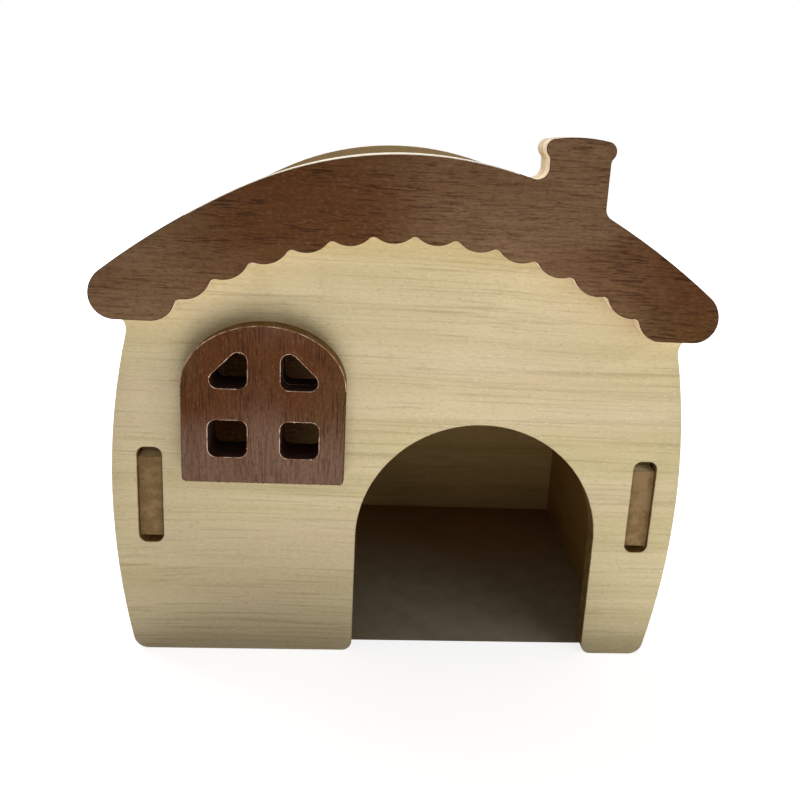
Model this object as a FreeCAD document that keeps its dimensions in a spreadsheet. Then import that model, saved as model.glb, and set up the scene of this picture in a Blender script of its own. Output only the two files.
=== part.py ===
import FreeCAD, Part
import math
import os
import Sketcher

# A small house for a hamster, cut from flat boards of one thickness.
# Millimetres. +Z is up, the front looks along -Y, and the origin is on the
# ground at the middle of the house.

SIZES = [
    ("board_thickness", 5.0, "every board of the house"),
    ("inner_depth", 79.0, "between the front panel and the back panel"),
    ("side_widest", 62.05, "half of the width where the sides bulge most"),
    ("widest_height", 38.0, "height of that bulge"),
    ("lower_side_radius", 180.0, "side of a panel below the bulge"),
    ("upper_side_radius", 155.0, "side of a panel above the bulge"),
    ("outer_foot_radius", 3.3, "outer bottom corners of a panel"),
    ("neck_radius", 3.0, "hollow corner where a side meets its eave"),
    ("eave_height", 76.6, "underside of the eaves"),
    ("eave_overhang", 1.85, "eave tip beyond the widest part of the sides"),
    ("eave_lower_radius", 5.0, "lower half of an eave tip"),
    ("eave_upper_radius", 6.0, "upper half of an eave tip"),
    ("eave_pitch", 38.4, "slope in degrees where the roof line meets a tip"),
    ("slope_radius", 155.0, "roof line beside the crown"),
    ("ridge_rise", 35.1, "top of the roof line above the eaves"),
    ("arch_rise", 19.2, "peaks of the fascia's lower edge above the eaves"),
    ("last_peak_rise", 4.4, "outermost peak above the eaves"),
    ("last_peak_inset", 17.2, "outermost peak inside the eave's tip"),
    ("lobe_pitch", 8.3, "about this far from one peak to the next"),
    ("lobe_radius", 5.6, "the lobes that hang between the peaks"),
    ("peak_radius", 1.2, "the peaks themselves"),
    ("end_lobe_radius", 5.0, "lobe that runs down to the eave"),
    ("chimney_offset", 31.7, "middle of the chimney to the right of the house's"),
    ("chimney_rise", 4.9, "top of the chimney above the roof line's top"),
    ("chimney_root", 15.0, "foot of the stack below the roof line's top"),
    ("stack_width", 12.2, "chimney stack"),
    ("stack_foot_radius", 2.3, "hollow corners between stack and roof line"),
    ("cap_width", 14.0, "thicker head of the chimney"),
    ("cap_end_radius", 1.9, "rounded ends of the head"),
    ("cap_neck_radius", 1.5, "hollow corners below the head"),
    ("cap_crown_radius", 30.0, "gently rounded top of the head"),
    ("door_width", 53.75, "doorway"),
    ("door_margin", 7.7, "from the doorway to the inside of the right wall"),
    ("door_spring", 28.6, "height where the round head of the doorway starts"),
    ("door_foot_radius", 2.2, "bottom corners of the panel beside the doorway"),
    ("window_width", 33.65, "window frame"),
    ("window_gap", 2.9, "from the window frame to the doorway"),
    ("window_base", 42.65, "height of the window frame's lower edge"),
    ("window_side", 20.85, "straight sides of the window frame"),
    ("window_head", 13.0, "rise of its round head"),
    ("window_corner_radius", 1.0, "bottom corners of the window frame"),
    ("pane_size", 8.1, "each of the window's two square openings"),
    ("pane_bar", 6.75, "bars between the openings"),
    ("pane_sill", 5.6, "frame below the lower openings"),
    ("pane_leg", 10.25, "straight sides of the two three-cornered openings"),
    ("pane_radius", 1.8, "corners of the openings"),
    ("wall_inset", 7.85, "middle of a side wall inside the widest part"),
    ("slot_base", 26.2, "lower end of a slot in a panel"),
    ("slot_length", 22.0, "slot in a panel"),
    ("slot_clearance", 0.3, "inner side of a tab in its slot; its outer side touches"),
    ("slot_radius", 1.8, "corners of every slot"),
    ("tab_below", 1.1, "from a slot's lower end to its tab"),
    ("tab_above", 2.6, "from a tab to its slot's upper end"),
    ("tab_recess", 1.2, "end of a tab below the face it comes through"),
    ("wall_rise", 1.4, "top edge of the side walls above the eaves"),
    ("roof_tab_length", 22.0, "tab on a side wall that locates the roof board"),
    ("roof_overhang", 3.3, "roof board beyond the outside of a side wall"),
    ("roof_clearance", 0.3, "roof board to the panels and to its tabs"),
    ("roof_slot_end", 1.3, "from a roof tab to each end of its slot"),
]

doc = FreeCAD.newDocument("HamsterHouse")
sheet = doc.addObject("Spreadsheet::Sheet", "Dim")
for row, (alias, number, note) in enumerate(SIZES, start=1):
    sheet.set("A%d" % row, alias)
    sheet.set("B%d" % row, str(number))
    sheet.set("C%d" % row, note)
    sheet.setAlias("B%d" % row, alias)
doc.recompute()

# Places that more than one board uses, as expressions on the sheet.
WALL_CENTRE = "(Dim.side_widest - Dim.wall_inset)"
DOOR_RIGHT = "(%s - Dim.board_thickness / 2 - Dim.door_margin)" % WALL_CENTRE
DOOR_LEFT = "(%s - Dim.door_width)" % DOOR_RIGHT
WINDOW_CENTRE = "(%s - Dim.window_gap - Dim.window_width / 2)" % DOOR_LEFT
RIDGE = "(Dim.eave_height + Dim.ridge_rise)"
EAVE_TIP = "(Dim.side_widest + Dim.eave_overhang)"
SLOPE_CENTRE = ("(%s - Dim.eave_upper_radius - (Dim.slope_radius - Dim.eave_upper_radius)"
                " * sin(Dim.eave_pitch * 1 deg))" % EAVE_TIP)
WALL_TOP = "(Dim.eave_height + Dim.wall_rise)"
PANEL_FRONT = "(-(Dim.inner_depth + Dim.board_thickness) / 2)"
INSIDE_FRONT = "(%s + Dim.board_thickness)" % PANEL_FRONT
INSIDE_BACK = "(%s + Dim.inner_depth)" % INSIDE_FRONT


def value(expression):
    """The number that an expression on the sheet gives."""
    return float(sheet.evalExpression(expression))


def size(alias):
    return float(sheet.get(alias))


def polar(centre, radius, degrees):
    """A point on a circle; degrees count from +X towards +Y of the sketch."""
    turn = math.radians(degrees)
    return (centre[0] + radius * math.cos(turn), centre[1] + radius * math.sin(turn))


def bearing(centre, point):
    return math.degrees(math.atan2(point[1] - centre[1], point[0] - centre[0]))


class Outline:
    """One sketch on an origin plane of its body, drawn as closed loops."""

    def __init__(self, body, plane, name):
        self.sketch = body.newObject("Sketcher::SketchObject", name)
        support = [f for f in body.Origin.OriginFeatures if f.Role == plane][0]
        self.sketch.AttachmentSupport = [(support, "")]
        self.sketch.MapMode = "FlatFace"
        self.loop = []

    def line(self, start, end):
        edge = Part.LineSegment(FreeCAD.Vector(*start, 0), FreeCAD.Vector(*end, 0))
        heading = bearing(start, end)
        return self.add(edge, 1, 2, heading, heading)

    def arc(self, centre, radius, first, last):
        """An arc from one bearing to the other; clockwise where last is less."""
        circle = Part.Circle(FreeCAD.Vector(*centre, 0), FreeCAD.Vector(0, 0, 1), radius)
        low, high = sorted((math.radians(first), math.radians(last)))
        edge = Part.ArcOfCircle(circle, low, high)
        if last > first:
            return self.add(edge, 1, 2, first + 90, last + 90)
        return self.add(edge, 2, 1, first - 90, last - 90)

    def add(self, edge, start, end, heading_in, heading_out):
        key = self.sketch.addGeometry(edge, False)
        self.loop.append((key, start, end, heading_in, heading_out))
        return key

    def close(self):
        """Joins the edges of the loop end to end, smoothly where they run on."""
        for edge, following in zip(self.loop, self.loop[1:] + self.loop[:1]):
            bend = abs((following[3] - edge[4] + 180) % 360 - 180)
            kind = "Tangent" if bend < 0.001 else "Coincident"
            self.rule(kind, edge[0], edge[2], following[0], following[1])
        self.loop = []

    def rule(self, kind, *parts):
        return self.sketch.addConstraint(Sketcher.Constraint(kind, *parts))

    def tie(self, index, expression):
        self.sketch.setExpression("Constraints[%d]" % index, expression)

    def radius(self, key, expression):
        self.tie(self.rule("Radius", key, value(expression)), expression)

    def place(self, kind, key, point, expression):
        """Holds a point at a distance from the origin, DistanceX or DistanceY."""
        number = value(expression)
        if number < 0:
            self.tie(self.rule(kind, key, point, -1, 1, -number), "-" + expression)
        else:
            self.tie(self.rule(kind, -1, 1, key, point, number), expression)

    def rectangle(self, left, bottom, right, top):
        """A rectangle whose four sides are expressions on the sheet."""
        corners = [(value(x), value(y)) for x, y in
                   ((left, bottom), (right, bottom), (right, top), (left, top))]
        keys = [self.line(corners[i], corners[(i + 1) % 4]) for i in range(4)]
        self.close()
        for key, kind in zip(keys, ("Horizontal", "Vertical") * 2):
            self.rule(kind, key)
        self.place("DistanceX", keys[0], 1, left)
        self.place("DistanceY", keys[0], 1, bottom)
        self.place("DistanceX", keys[2], 1, right)
        self.place("DistanceY", keys[2], 1, top)

    def rounded(self, corners, radius):
        """A polygon whose corners, pairs of expressions, all have one radius."""
        points = [(value(x), value(y)) for x, y in corners]
        count = len(points)
        bends = []
        for i, point in enumerate(points):
            arrive = bearing(points[i - 1], point)
            leave = bearing(point, points[(i + 1) % count])
            turn = (leave - arrive) % 360
            reach = value(radius) * math.tan(math.radians(turn / 2))
            start = polar(point, reach, arrive + 180)
            centre = polar(start, value(radius), arrive + 90)
            bends.append((start, polar(point, reach, leave), centre, arrive - 90, turn))
        sides = []
        arcs = []
        for i, (start, end, centre, first, turn) in enumerate(bends):
            arcs.append(self.arc(centre, value(radius), first, first + turn))
            sides.append(self.line(end, bends[(i + 1) % count][0]))
        self.close()
        self.radius(arcs[0], radius)
        for key in arcs[1:]:
            self.rule("Equal", arcs[0], key)
        for i, key in enumerate(sides):
            x, y = corners[i]
            next_x, next_y = corners[(i + 1) % count]
            if y == next_y:
                self.rule("Horizontal", key)
                self.place("DistanceY", key, 1, y)
            elif x == next_x:
                self.rule("Vertical", key)
                self.place("DistanceX", key, 1, x)
            else:
                self.rule("Block", key)


def new_body(label, x="0", y="0", z="0"):
    """A body whose place in the house follows the sheet."""
    body = doc.addObject("PartDesign::Body", label)
    body.Label = label
    for axis, expression in zip("xyz", (x, y, z)):
        body.setExpression("Placement.Base." + axis, expression)
    return body


def pad(body, outline, name, length="Dim.board_thickness", backwards=True):
    """Pads a sketch; on the XZ plane backwards means towards +Y."""
    feature = body.newObject("PartDesign::Pad", name)
    feature.Profile = outline.sketch
    feature.setExpression("Length", length)
    feature.Reversed = backwards
    doc.recompute()
    return feature


def pocket(body, outline, name, backwards):
    """Cuts a sketch through the whole board, and makes sure that it cut."""
    before = body.Shape.Volume
    feature = body.newObject("PartDesign::Pocket", name)
    feature.Profile = outline.sketch
    feature.Type = "ThroughAll"
    feature.Reversed = backwards
    doc.recompute()
    assert body.Shape.Volume < before, name + " cuts nothing"
    return feature


def mirror(body, feature, name):
    """Adds the left half of a board to its right half."""
    plane = [f for f in body.Origin.OriginFeatures if f.Role == "YZ_Plane"][0]
    copy = body.newObject("PartDesign::Mirrored", name)
    copy.Originals = [feature]
    copy.MirrorPlane = (plane, [""])
    copy.Refine = True
    body.Tip = copy
    doc.recompute()
    return copy


def roof_line(outline):
    """The right half of the roof line, from the eave's underside to the ridge."""
    tip = value(EAVE_TIP)
    ridge = value(RIDGE)
    lower, upper = size("eave_lower_radius"), size("eave_upper_radius")
    slope = size("slope_radius")
    tip_height = size("eave_height") + lower
    tip_centre = (tip - upper, tip_height)
    slope_bearing = 90 - size("eave_pitch")
    slope_centre = polar(tip_centre, upper - slope, slope_bearing)
    fall = ridge - slope_centre[1]
    crown = (slope**2 - slope_centre[0]**2 - fall**2) / (2 * (slope - fall))
    crown_centre = (0, ridge - crown)
    meeting = bearing(slope_centre, crown_centre)

    under = outline.arc((tip - lower, tip_height), lower, -90, 0)
    over = outline.arc(tip_centre, upper, 0, slope_bearing)
    side = outline.arc(slope_centre, slope, slope_bearing, meeting)
    top = outline.arc(crown_centre, crown, meeting, 90)
    return under, over, side, top


def tie_roof_line(outline, under, over, side, top):
    outline.radius(under, "Dim.eave_lower_radius")
    outline.radius(over, "Dim.eave_upper_radius")
    outline.radius(side, "Dim.slope_radius")
    outline.rule("Horizontal", under, 3, under, 2)
    outline.rule("PointOnObject", top, 3, -2)
    outline.place("DistanceX", under, 2, EAVE_TIP)
    outline.place("DistanceX", side, 3, SLOPE_CENTRE)
    outline.place("DistanceY", top, 2, RIDGE)


def panel_half(body):
    """The right half of a panel: side, neck, eave and roof line."""
    widest, middle = size("side_widest"), size("widest_height")
    eave = size("eave_height")
    low, high = size("lower_side_radius"), size("upper_side_radius")
    foot, neck = size("outer_foot_radius"), size("neck_radius")
    low_centre, high_centre = (widest - low, middle), (widest - high, middle)
    foot_reach = math.sqrt((low - foot)**2 - (middle - foot)**2)
    foot_centre = (low_centre[0] + foot_reach, foot)
    neck_reach = math.sqrt((high + neck)**2 - (eave - neck - middle)**2)
    neck_centre = (high_centre[0] + neck_reach, eave - neck)
    foot_bearing = bearing(low_centre, foot_centre)
    neck_bearing = bearing(high_centre, neck_centre)

    outline = Outline(body, "XZ_Plane", "PanelOutline")
    base = outline.line((0, 0), (foot_centre[0], 0))
    corner = outline.arc(foot_centre, foot, -90, foot_bearing)
    lower = outline.arc(low_centre, low, foot_bearing, 0)
    upper = outline.arc(high_centre, high, 0, neck_bearing)
    hollow = outline.arc(neck_centre, neck, 180 + neck_bearing, 90)
    tip_start = value(EAVE_TIP) - size("eave_lower_radius")
    underside = outline.line((neck_centre[0], eave), (tip_start, eave))
    roof = roof_line(outline)
    middle_line = outline.line((0, value(RIDGE)), (0, 0))
    outline.close()

    outline.rule("Coincident", base, 1, -1, 1)
    outline.rule("Horizontal", base)
    outline.rule("Vertical", middle_line)
    outline.radius(corner, "Dim.outer_foot_radius")
    outline.radius(lower, "Dim.lower_side_radius")
    outline.radius(upper, "Dim.upper_side_radius")
    outline.radius(hollow, "Dim.neck_radius")
    outline.rule("Horizontal", lower, 3, lower, 2)
    outline.place("DistanceX", lower, 2, "Dim.side_widest")
    outline.place("DistanceY", lower, 2, "Dim.widest_height")
    outline.rule("Horizontal", underside)
    outline.place("DistanceY", underside, 1, "Dim.eave_height")
    tie_roof_line(outline, *roof)
    return pad(body, outline, "HalfPanel")


def fascia_half(body):
    """The right half of the fascia: roof line above, lobes and peaks below."""
    eave = size("eave_height")
    end, lobe, peak = size("end_lobe_radius"), size("lobe_radius"), size("peak_radius")
    half_span = value(EAVE_TIP) - size("last_peak_inset")
    arch_fall = size("arch_rise") - size("last_peak_rise")
    arch = (half_span**2 + arch_fall**2) / (2 * arch_fall)
    arch_centre = (0, eave + size("arch_rise") - arch)
    sweep = math.asin(half_span / arch)
    count = round(sweep * arch / size("lobe_pitch"))
    pitch = math.degrees(sweep) / count

    peak_circle = arch - peak
    half = math.radians(pitch / 2)
    lobe_circle = (peak_circle * math.cos(half)
                   + math.sqrt((lobe + peak)**2 - (peak_circle * math.sin(half))**2))
    peaks = [polar(arch_centre, peak_circle, 90 - i * pitch) for i in range(count + 1)]
    lobes = [polar(arch_centre, lobe_circle, 90 - (i + 0.5) * pitch) for i in range(count)]
    drop = peaks[-1][1] - (eave + end)
    end_centre = (peaks[-1][0] + math.sqrt((end + peak)**2 - drop**2), eave + end)

    outline = Outline(body, "XZ_Plane", "FasciaOutline")
    peak_keys = []
    lobe_keys = []
    arrive = 90
    for i in range(count):
        leave = bearing(peaks[i], lobes[i])
        peak_keys.append(outline.arc(peaks[i], peak, arrive, leave))
        arrive = bearing(lobes[i], peaks[i + 1]) % 360
        lobe_keys.append(outline.arc(lobes[i], lobe, leave + 180, arrive))
        arrive -= 180
    leave = bearing(peaks[-1], end_centre)
    peak_keys.append(outline.arc(peaks[-1], peak, arrive, leave))
    last_lobe = outline.arc(end_centre, end, leave + 180, 270)
    tip_start = value(EAVE_TIP) - size("eave_lower_radius")
    underside = outline.line((end_centre[0], eave), (tip_start, eave))
    roof = roof_line(outline)
    middle_line = outline.line((0, value(RIDGE)), (0, eave + size("arch_rise")))
    outline.close()

    outline.rule("PointOnObject", middle_line, 2, -2)
    outline.rule("Vertical", middle_line)
    outline.place("DistanceY", middle_line, 2, "(Dim.eave_height + Dim.arch_rise)")
    outline.radius(peak_keys[0], "Dim.peak_radius")
    outline.radius(lobe_keys[0], "Dim.lobe_radius")
    outline.radius(last_lobe, "Dim.end_lobe_radius")
    for key in peak_keys[1:]:
        outline.rule("Equal", peak_keys[0], key)
    for key in lobe_keys[1:]:
        outline.rule("Equal", lobe_keys[0], key)
    outline.rule("Horizontal", underside)
    outline.place("DistanceY", underside, 1, "Dim.eave_height")
    tie_roof_line(outline, *roof)
    return pad(body, outline, "HalfFascia")


def chimney(body):
    """Stack and head, with hollow corners where the stack leaves the roof line."""
    middle = size("chimney_offset")
    stack, cap = size("stack_width") / 2, size("cap_width") / 2
    end, neck = size("cap_end_radius"), size("cap_neck_radius")
    crown = size("cap_crown_radius")
    top = value(RIDGE) + size("chimney_rise")
    root = value(RIDGE) - size("chimney_root")
    reach = cap - end
    end_height = top - crown + math.sqrt((crown - end)**2 - reach**2)
    neck_height = end_height - math.sqrt((end + neck)**2 - (stack + neck - reach)**2)
    ends = [(middle + side * reach, end_height) for side in (1, -1)]
    necks = [(middle + side * (stack + neck), neck_height) for side in (1, -1)]
    crown_centre = (middle, top - crown)

    outline = Outline(body, "XZ_Plane", "ChimneyOutline")
    below = bearing(ends[0], necks[0])
    above = bearing(crown_centre, ends[0])
    foot = outline.line((middle - stack, root), (middle + stack, root))
    right = outline.line((middle + stack, root), (middle + stack, neck_height))
    hollow = outline.arc(necks[0], neck, 180, 180 + below)
    knob = outline.arc(ends[0], end, below, above)
    crest = outline.arc(crown_centre, crown, above, 180 - above)
    knob_left = outline.arc(ends[1], end, 180 - above, 180 - below)
    hollow_left = outline.arc(necks[1], neck, -below, 0)
    left = outline.line((middle - stack, neck_height), (middle - stack, root))
    outline.close()

    outline.rule("Horizontal", foot)
    outline.rule("Vertical", right)
    outline.rule("Vertical", left)
    outline.radius(hollow, "Dim.cap_neck_radius")
    outline.radius(knob, "Dim.cap_end_radius")
    outline.radius(crest, "Dim.cap_crown_radius")
    outline.rule("Equal", hollow, hollow_left)
    outline.rule("Equal", knob, knob_left)
    outline.place("DistanceX", foot, 1, "(Dim.chimney_offset - Dim.stack_width / 2)")
    outline.place("DistanceX", foot, 2, "(Dim.chimney_offset + Dim.stack_width / 2)")
    outline.place("DistanceY", foot, 1, "(%s - Dim.chimney_root)" % RIDGE)
    outline.place("DistanceX", crest, 3, "Dim.chimney_offset")
    joined = pad(body, outline, "Chimney")

    sides = [middle - stack, middle + stack]
    corners = []
    for number, edge in enumerate(body.Shape.Edges, start=1):
        across = edge.BoundBox.YLength > size("board_thickness") - 0.01
        at_side = any(abs(edge.BoundBox.Center.x - side) < 0.01 for side in sides)
        if across and at_side and edge.BoundBox.Center.z < neck_height - 0.01:
            corners.append("Edge%d" % number)
    assert len(corners) == 2, "the stack meets the roof line at two edges"
    fillet = body.newObject("PartDesign::Fillet", "StackFeet")
    fillet.Base = (joined, corners)
    fillet.setExpression("Radius", "Dim.stack_foot_radius")
    doc.recompute()


def tab_slots(body):
    """The two slots that the side walls' tabs come through."""
    outline = Outline(body, "XZ_Plane", "SlotOutline")
    bottom = "Dim.slot_base"
    top = "(Dim.slot_base + Dim.slot_length)"
    inner = "(%s - Dim.board_thickness / 2 - Dim.slot_clearance)" % WALL_CENTRE
    outer = "(%s + Dim.board_thickness / 2)" % WALL_CENTRE
    for left, right in ((inner, outer), ("-" + outer, "-" + inner)):
        outline.rounded([(left, bottom), (right, bottom), (right, top), (left, top)],
                        "Dim.slot_radius")
    pocket(body, outline, "TabSlots", False)


def doorway(body):
    """A round-headed doorway, open at the bottom, with rounded bottom corners."""
    left, right = value(DOOR_LEFT), value(DOOR_RIGHT)
    foot, spring = size("door_foot_radius"), size("door_spring")
    half = size("door_width") / 2
    below = -size("board_thickness")

    outline = Outline(body, "XZ_Plane", "DoorOutline")
    ground = outline.line((left - foot, below), (right + foot, below))
    rise = outline.line((right + foot, below), (right + foot, 0))
    right_foot = outline.arc((right + foot, foot), foot, -90, -180)
    right_jamb = outline.line((right, foot), (right, spring))
    head = outline.arc(((left + right) / 2, spring), half, 0, 180)
    left_jamb = outline.line((left, spring), (left, foot))
    left_foot = outline.arc((left - foot, foot), foot, 0, -90)
    fall = outline.line((left - foot, 0), (left - foot, below))
    outline.close()

    outline.rule("Horizontal", ground)
    for key in (rise, right_jamb, left_jamb, fall):
        outline.rule("Vertical", key)
    outline.radius(right_foot, "Dim.door_foot_radius")
    outline.rule("Equal", right_foot, left_foot)
    outline.place("DistanceX", right_jamb, 1, DOOR_RIGHT)
    outline.place("DistanceX", left_jamb, 1, DOOR_LEFT)
    outline.place("DistanceY", head, 3, "Dim.door_spring")
    outline.place("DistanceY", ground, 1, "(-Dim.board_thickness)")
    outline.rule("PointOnObject", rise, 2, -1)
    outline.rule("PointOnObject", fall, 1, -1)
    pocket(body, outline, "Doorway", False)


def window_panes(body):
    """Two square openings below, and two three-cornered ones above."""
    outline = Outline(body, "XZ_Plane", "PaneOutline")
    low = "(Dim.window_base + Dim.pane_sill)"
    low_top = "(%s + Dim.pane_size)" % low
    high = "(%s + Dim.pane_bar)" % low_top
    high_top = "(%s + Dim.pane_leg)" % high
    for side in ("+", "-"):
        near = "(%s %s Dim.pane_bar / 2)" % (WINDOW_CENTRE, side)
        far = "(%s %s Dim.pane_size)" % (near, side)
        tip = "(%s %s Dim.pane_leg)" % (near, side)
        square = [(near, low), (far, low), (far, low_top), (near, low_top)]
        three_cornered = [(near, high), (tip, high), (near, high_top)]
        for loop in (square, three_cornered):
            outline.rounded(loop if side == "+" else loop[::-1], "Dim.pane_radius")
    pocket(body, outline, "Panes", False)


def front_panel():
    body = new_body("front_panel", y=PANEL_FRONT)
    mirror(body, panel_half(body), "WholePanel")
    chimney(body)
    tab_slots(body)
    doorway(body)
    window_panes(body)
    return body


def back_panel():
    body = new_body("back_panel", y=INSIDE_BACK)
    mirror(body, panel_half(body), "WholePanel")
    tab_slots(body)
    return body


def roof_fascia():
    """Dark board on the front panel, from the roof line down to the lobes."""
    body = new_body("roof_fascia", y="(%s - Dim.board_thickness)" % PANEL_FRONT)
    mirror(body, fascia_half(body), "WholeFascia")
    chimney(body)
    return body


def window_frame():
    """Dark board on the front panel, around the same four openings."""
    body = new_body("window_frame", y="(%s - Dim.board_thickness)" % PANEL_FRONT)
    middle, half = value(WINDOW_CENTRE), size("window_width") / 2
    base, spring = size("window_base"), size("window_base") + size("window_side")
    corner, head = size("window_corner_radius"), size("window_head")
    left, right = middle - half, middle + half

    outline = Outline(body, "XZ_Plane", "FrameOutline")
    sill = outline.line((left + corner, base), (right - corner, base))
    right_corner = outline.arc((right - corner, base + corner), corner, -90, 0)
    right_side = outline.line((right, base + corner), (right, spring))
    ellipse = Part.Ellipse(FreeCAD.Vector(middle, spring, 0), half, head)
    arch = outline.add(Part.ArcOfEllipse(ellipse, 0, math.pi), 1, 2, 90, 270)
    left_side = outline.line((left, spring), (left, base + corner))
    left_corner = outline.arc((left + corner, base + corner), corner, 180, 270)
    outline.close()

    outline.rule("Horizontal", sill)
    outline.rule("Vertical", right_side)
    outline.rule("Vertical", left_side)
    outline.radius(right_corner, "Dim.window_corner_radius")
    outline.rule("Equal", right_corner, left_corner)
    outline.place("DistanceX", right_side, 1, "(%s + Dim.window_width / 2)" % WINDOW_CENTRE)
    outline.place("DistanceX", left_side, 1, "(%s - Dim.window_width / 2)" % WINDOW_CENTRE)
    outline.place("DistanceY", sill, 1, "Dim.window_base")
    outline.place("DistanceY", arch, 3, "(Dim.window_base + Dim.window_side)")
    pad(body, outline, "Frame")
    window_panes(body)
    return body


def side_wall(label, side):
    """A wall between the panels, with a tab to each panel and one to the roof."""
    middle = WALL_CENTRE if side > 0 else "-" + WALL_CENTRE
    body = new_body(label, x="(%s - Dim.board_thickness / 2)" % middle)
    plate = Outline(body, "YZ_Plane", "WallOutline")
    plate.rectangle(INSIDE_FRONT, "0", INSIDE_BACK, WALL_TOP)
    pad(body, plate, "Wall", backwards=False)

    tabs = Outline(body, "YZ_Plane", "TabOutline")
    reach = "(Dim.board_thickness - Dim.tab_recess)"
    low = "(Dim.slot_base + Dim.tab_below)"
    high = "(Dim.slot_base + Dim.slot_length - Dim.tab_above)"
    half = "(Dim.roof_tab_length / 2)"
    middle_depth = "((%s + %s) / 2)" % (INSIDE_FRONT, INSIDE_BACK)
    tabs.rectangle("(%s - %s)" % (INSIDE_FRONT, reach), low, INSIDE_FRONT, high)
    tabs.rectangle(INSIDE_BACK, low, "(%s + %s)" % (INSIDE_BACK, reach), high)
    tabs.rectangle("(%s - %s)" % (middle_depth, half), WALL_TOP,
                   "(%s + %s)" % (middle_depth, half), "(%s + %s)" % (WALL_TOP, reach))
    pad(body, tabs, "Tabs", backwards=False)
    return body


def roof_board():
    """Flat board between the panels, on the side walls, that lifts straight off."""
    body = new_body("roof_board", z=WALL_TOP)
    half = "(%s + Dim.board_thickness / 2 + Dim.roof_overhang)" % WALL_CENTRE
    plate = Outline(body, "XY_Plane", "BoardOutline")
    plate.rectangle("-" + half, "(%s + Dim.roof_clearance)" % INSIDE_FRONT,
                    half, "(%s - Dim.roof_clearance)" % INSIDE_BACK)
    pad(body, plate, "Board", backwards=False)

    slots = Outline(body, "XY_Plane", "RoofSlotOutline")
    middle_depth = "((%s + %s) / 2)" % (INSIDE_FRONT, INSIDE_BACK)
    reach = "(Dim.roof_tab_length / 2 + Dim.roof_slot_end)"
    front, back = "(%s - %s)" % (middle_depth, reach), "(%s + %s)" % (middle_depth, reach)
    play = "(Dim.board_thickness / 2 + Dim.roof_clearance)"
    for sign in ("", "-"):
        left = "(%s%s - %s)" % (sign, WALL_CENTRE, play)
        right = "(%s%s + %s)" % (sign, WALL_CENTRE, play)
        slots.rounded([(left, front), (right, front), (right, back), (left, back)],
                      "Dim.slot_radius")
    pocket(body, slots, "RoofSlots", True)
    return body


boards = [
    front_panel(),
    roof_fascia(),
    window_frame(),
    back_panel(),
    side_wall("left_side_wall", -1),
    side_wall("right_side_wall", 1),
    roof_board(),
]
doc.recompute()

for item in doc.Objects:
    faults = [state for state in item.State if state in ("Invalid", "Error")]
    assert not faults, "%s is %s" % (item.Label, faults)
os.makedirs("parts", exist_ok=True)
for board in boards:
    shape = board.Shape
    assert not shape.isNull() and shape.isValid(), board.Label + " has no good shape"
    assert len(shape.Solids) == 1, board.Label + " is not one solid"
    shape.exportStep(os.path.join("parts", board.Label + ".step"))
    box = shape.BoundBox
    print("%-16s x %7.2f %7.2f  y %7.2f %7.2f  z %7.2f %7.2f  volume %9.1f" % (
        board.Label, box.XMin, box.XMax, box.YMin, box.YMax, box.ZMin, box.ZMax,
        shape.Volume))
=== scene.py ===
import math

import bmesh
import bpy
from mathutils import Euler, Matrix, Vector


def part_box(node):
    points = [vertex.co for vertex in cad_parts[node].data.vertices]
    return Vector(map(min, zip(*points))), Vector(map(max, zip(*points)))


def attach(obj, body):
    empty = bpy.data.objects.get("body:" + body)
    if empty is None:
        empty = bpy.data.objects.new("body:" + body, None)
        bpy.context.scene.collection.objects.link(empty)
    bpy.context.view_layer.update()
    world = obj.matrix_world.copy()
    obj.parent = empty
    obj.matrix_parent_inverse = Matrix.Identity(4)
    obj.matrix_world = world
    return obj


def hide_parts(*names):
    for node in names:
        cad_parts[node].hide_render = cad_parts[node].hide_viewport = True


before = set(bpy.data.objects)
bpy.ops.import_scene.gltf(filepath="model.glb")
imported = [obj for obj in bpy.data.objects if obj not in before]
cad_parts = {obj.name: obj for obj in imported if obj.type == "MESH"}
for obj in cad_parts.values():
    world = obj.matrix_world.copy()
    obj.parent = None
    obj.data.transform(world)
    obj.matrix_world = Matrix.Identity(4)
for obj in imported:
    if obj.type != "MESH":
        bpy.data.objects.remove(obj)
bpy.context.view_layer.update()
mm = 0.001
print("frame loaded:", ", ".join(sorted(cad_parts)))


def newObject(name, data):
    made = bpy.data.objects.new(name, data)
    bpy.context.scene.collection.objects.link(made)
    return made


def newMaterial(name):
    material = bpy.data.materials.new(name)
    material.use_nodes = True
    material.node_tree.nodes.clear()
    return material, material.node_tree


# A colour as a paint chart gives it, 0 to 255, turned into the linear value that shaders want
def paint(red, green, blue):
    def linear(level):
        share = level / 255
        return share / 12.92 if share <= 0.04045 else ((share + 0.055) / 1.055) ** 2.4
    return (linear(red), linear(green), linear(blue), 1.0)


# Adds a node, sets its properties, and fills or links its inputs
def addNode(tree, kind, inputs=None, **settings):
    node = tree.nodes.new(kind)
    for name, value in settings.items():
        setattr(node, name, value)
    for name, value in (inputs or {}).items():
        if isinstance(value, bpy.types.NodeSocket):
            tree.links.new(value, node.inputs[name])
        else:
            node.inputs[name].default_value = value
    return node


def mathNode(tree, operation, first, second=0.5, clamp=False):
    return addNode(tree, "ShaderNodeMath", {0: first, 1: second},
                   operation=operation, use_clamp=clamp).outputs[0]


def alikeAxes(tree, value):
    return addNode(tree, "ShaderNodeCombineXYZ", {"X": value, "Y": value, "Z": value}).outputs[0]


# Inputs 6 and 7 and output 2 of a Mix node are its colours
def mixColour(tree, share, first, second):
    return addNode(tree, "ShaderNodeMix", {0: share, 6: first, 7: second},
                   data_type="RGBA").outputs[2]


# A soft step from 0 at start to 1, or to top, at end, which may be the lower of the two
def softStep(tree, value, start, end, top=1.0):
    return addNode(tree, "ShaderNodeMapRange", {
        "Value": value, "From Min": start, "From Max": end, "To Min": 0.0, "To Max": top},
        interpolation_type="SMOOTHSTEP").outputs["Result"]


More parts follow.
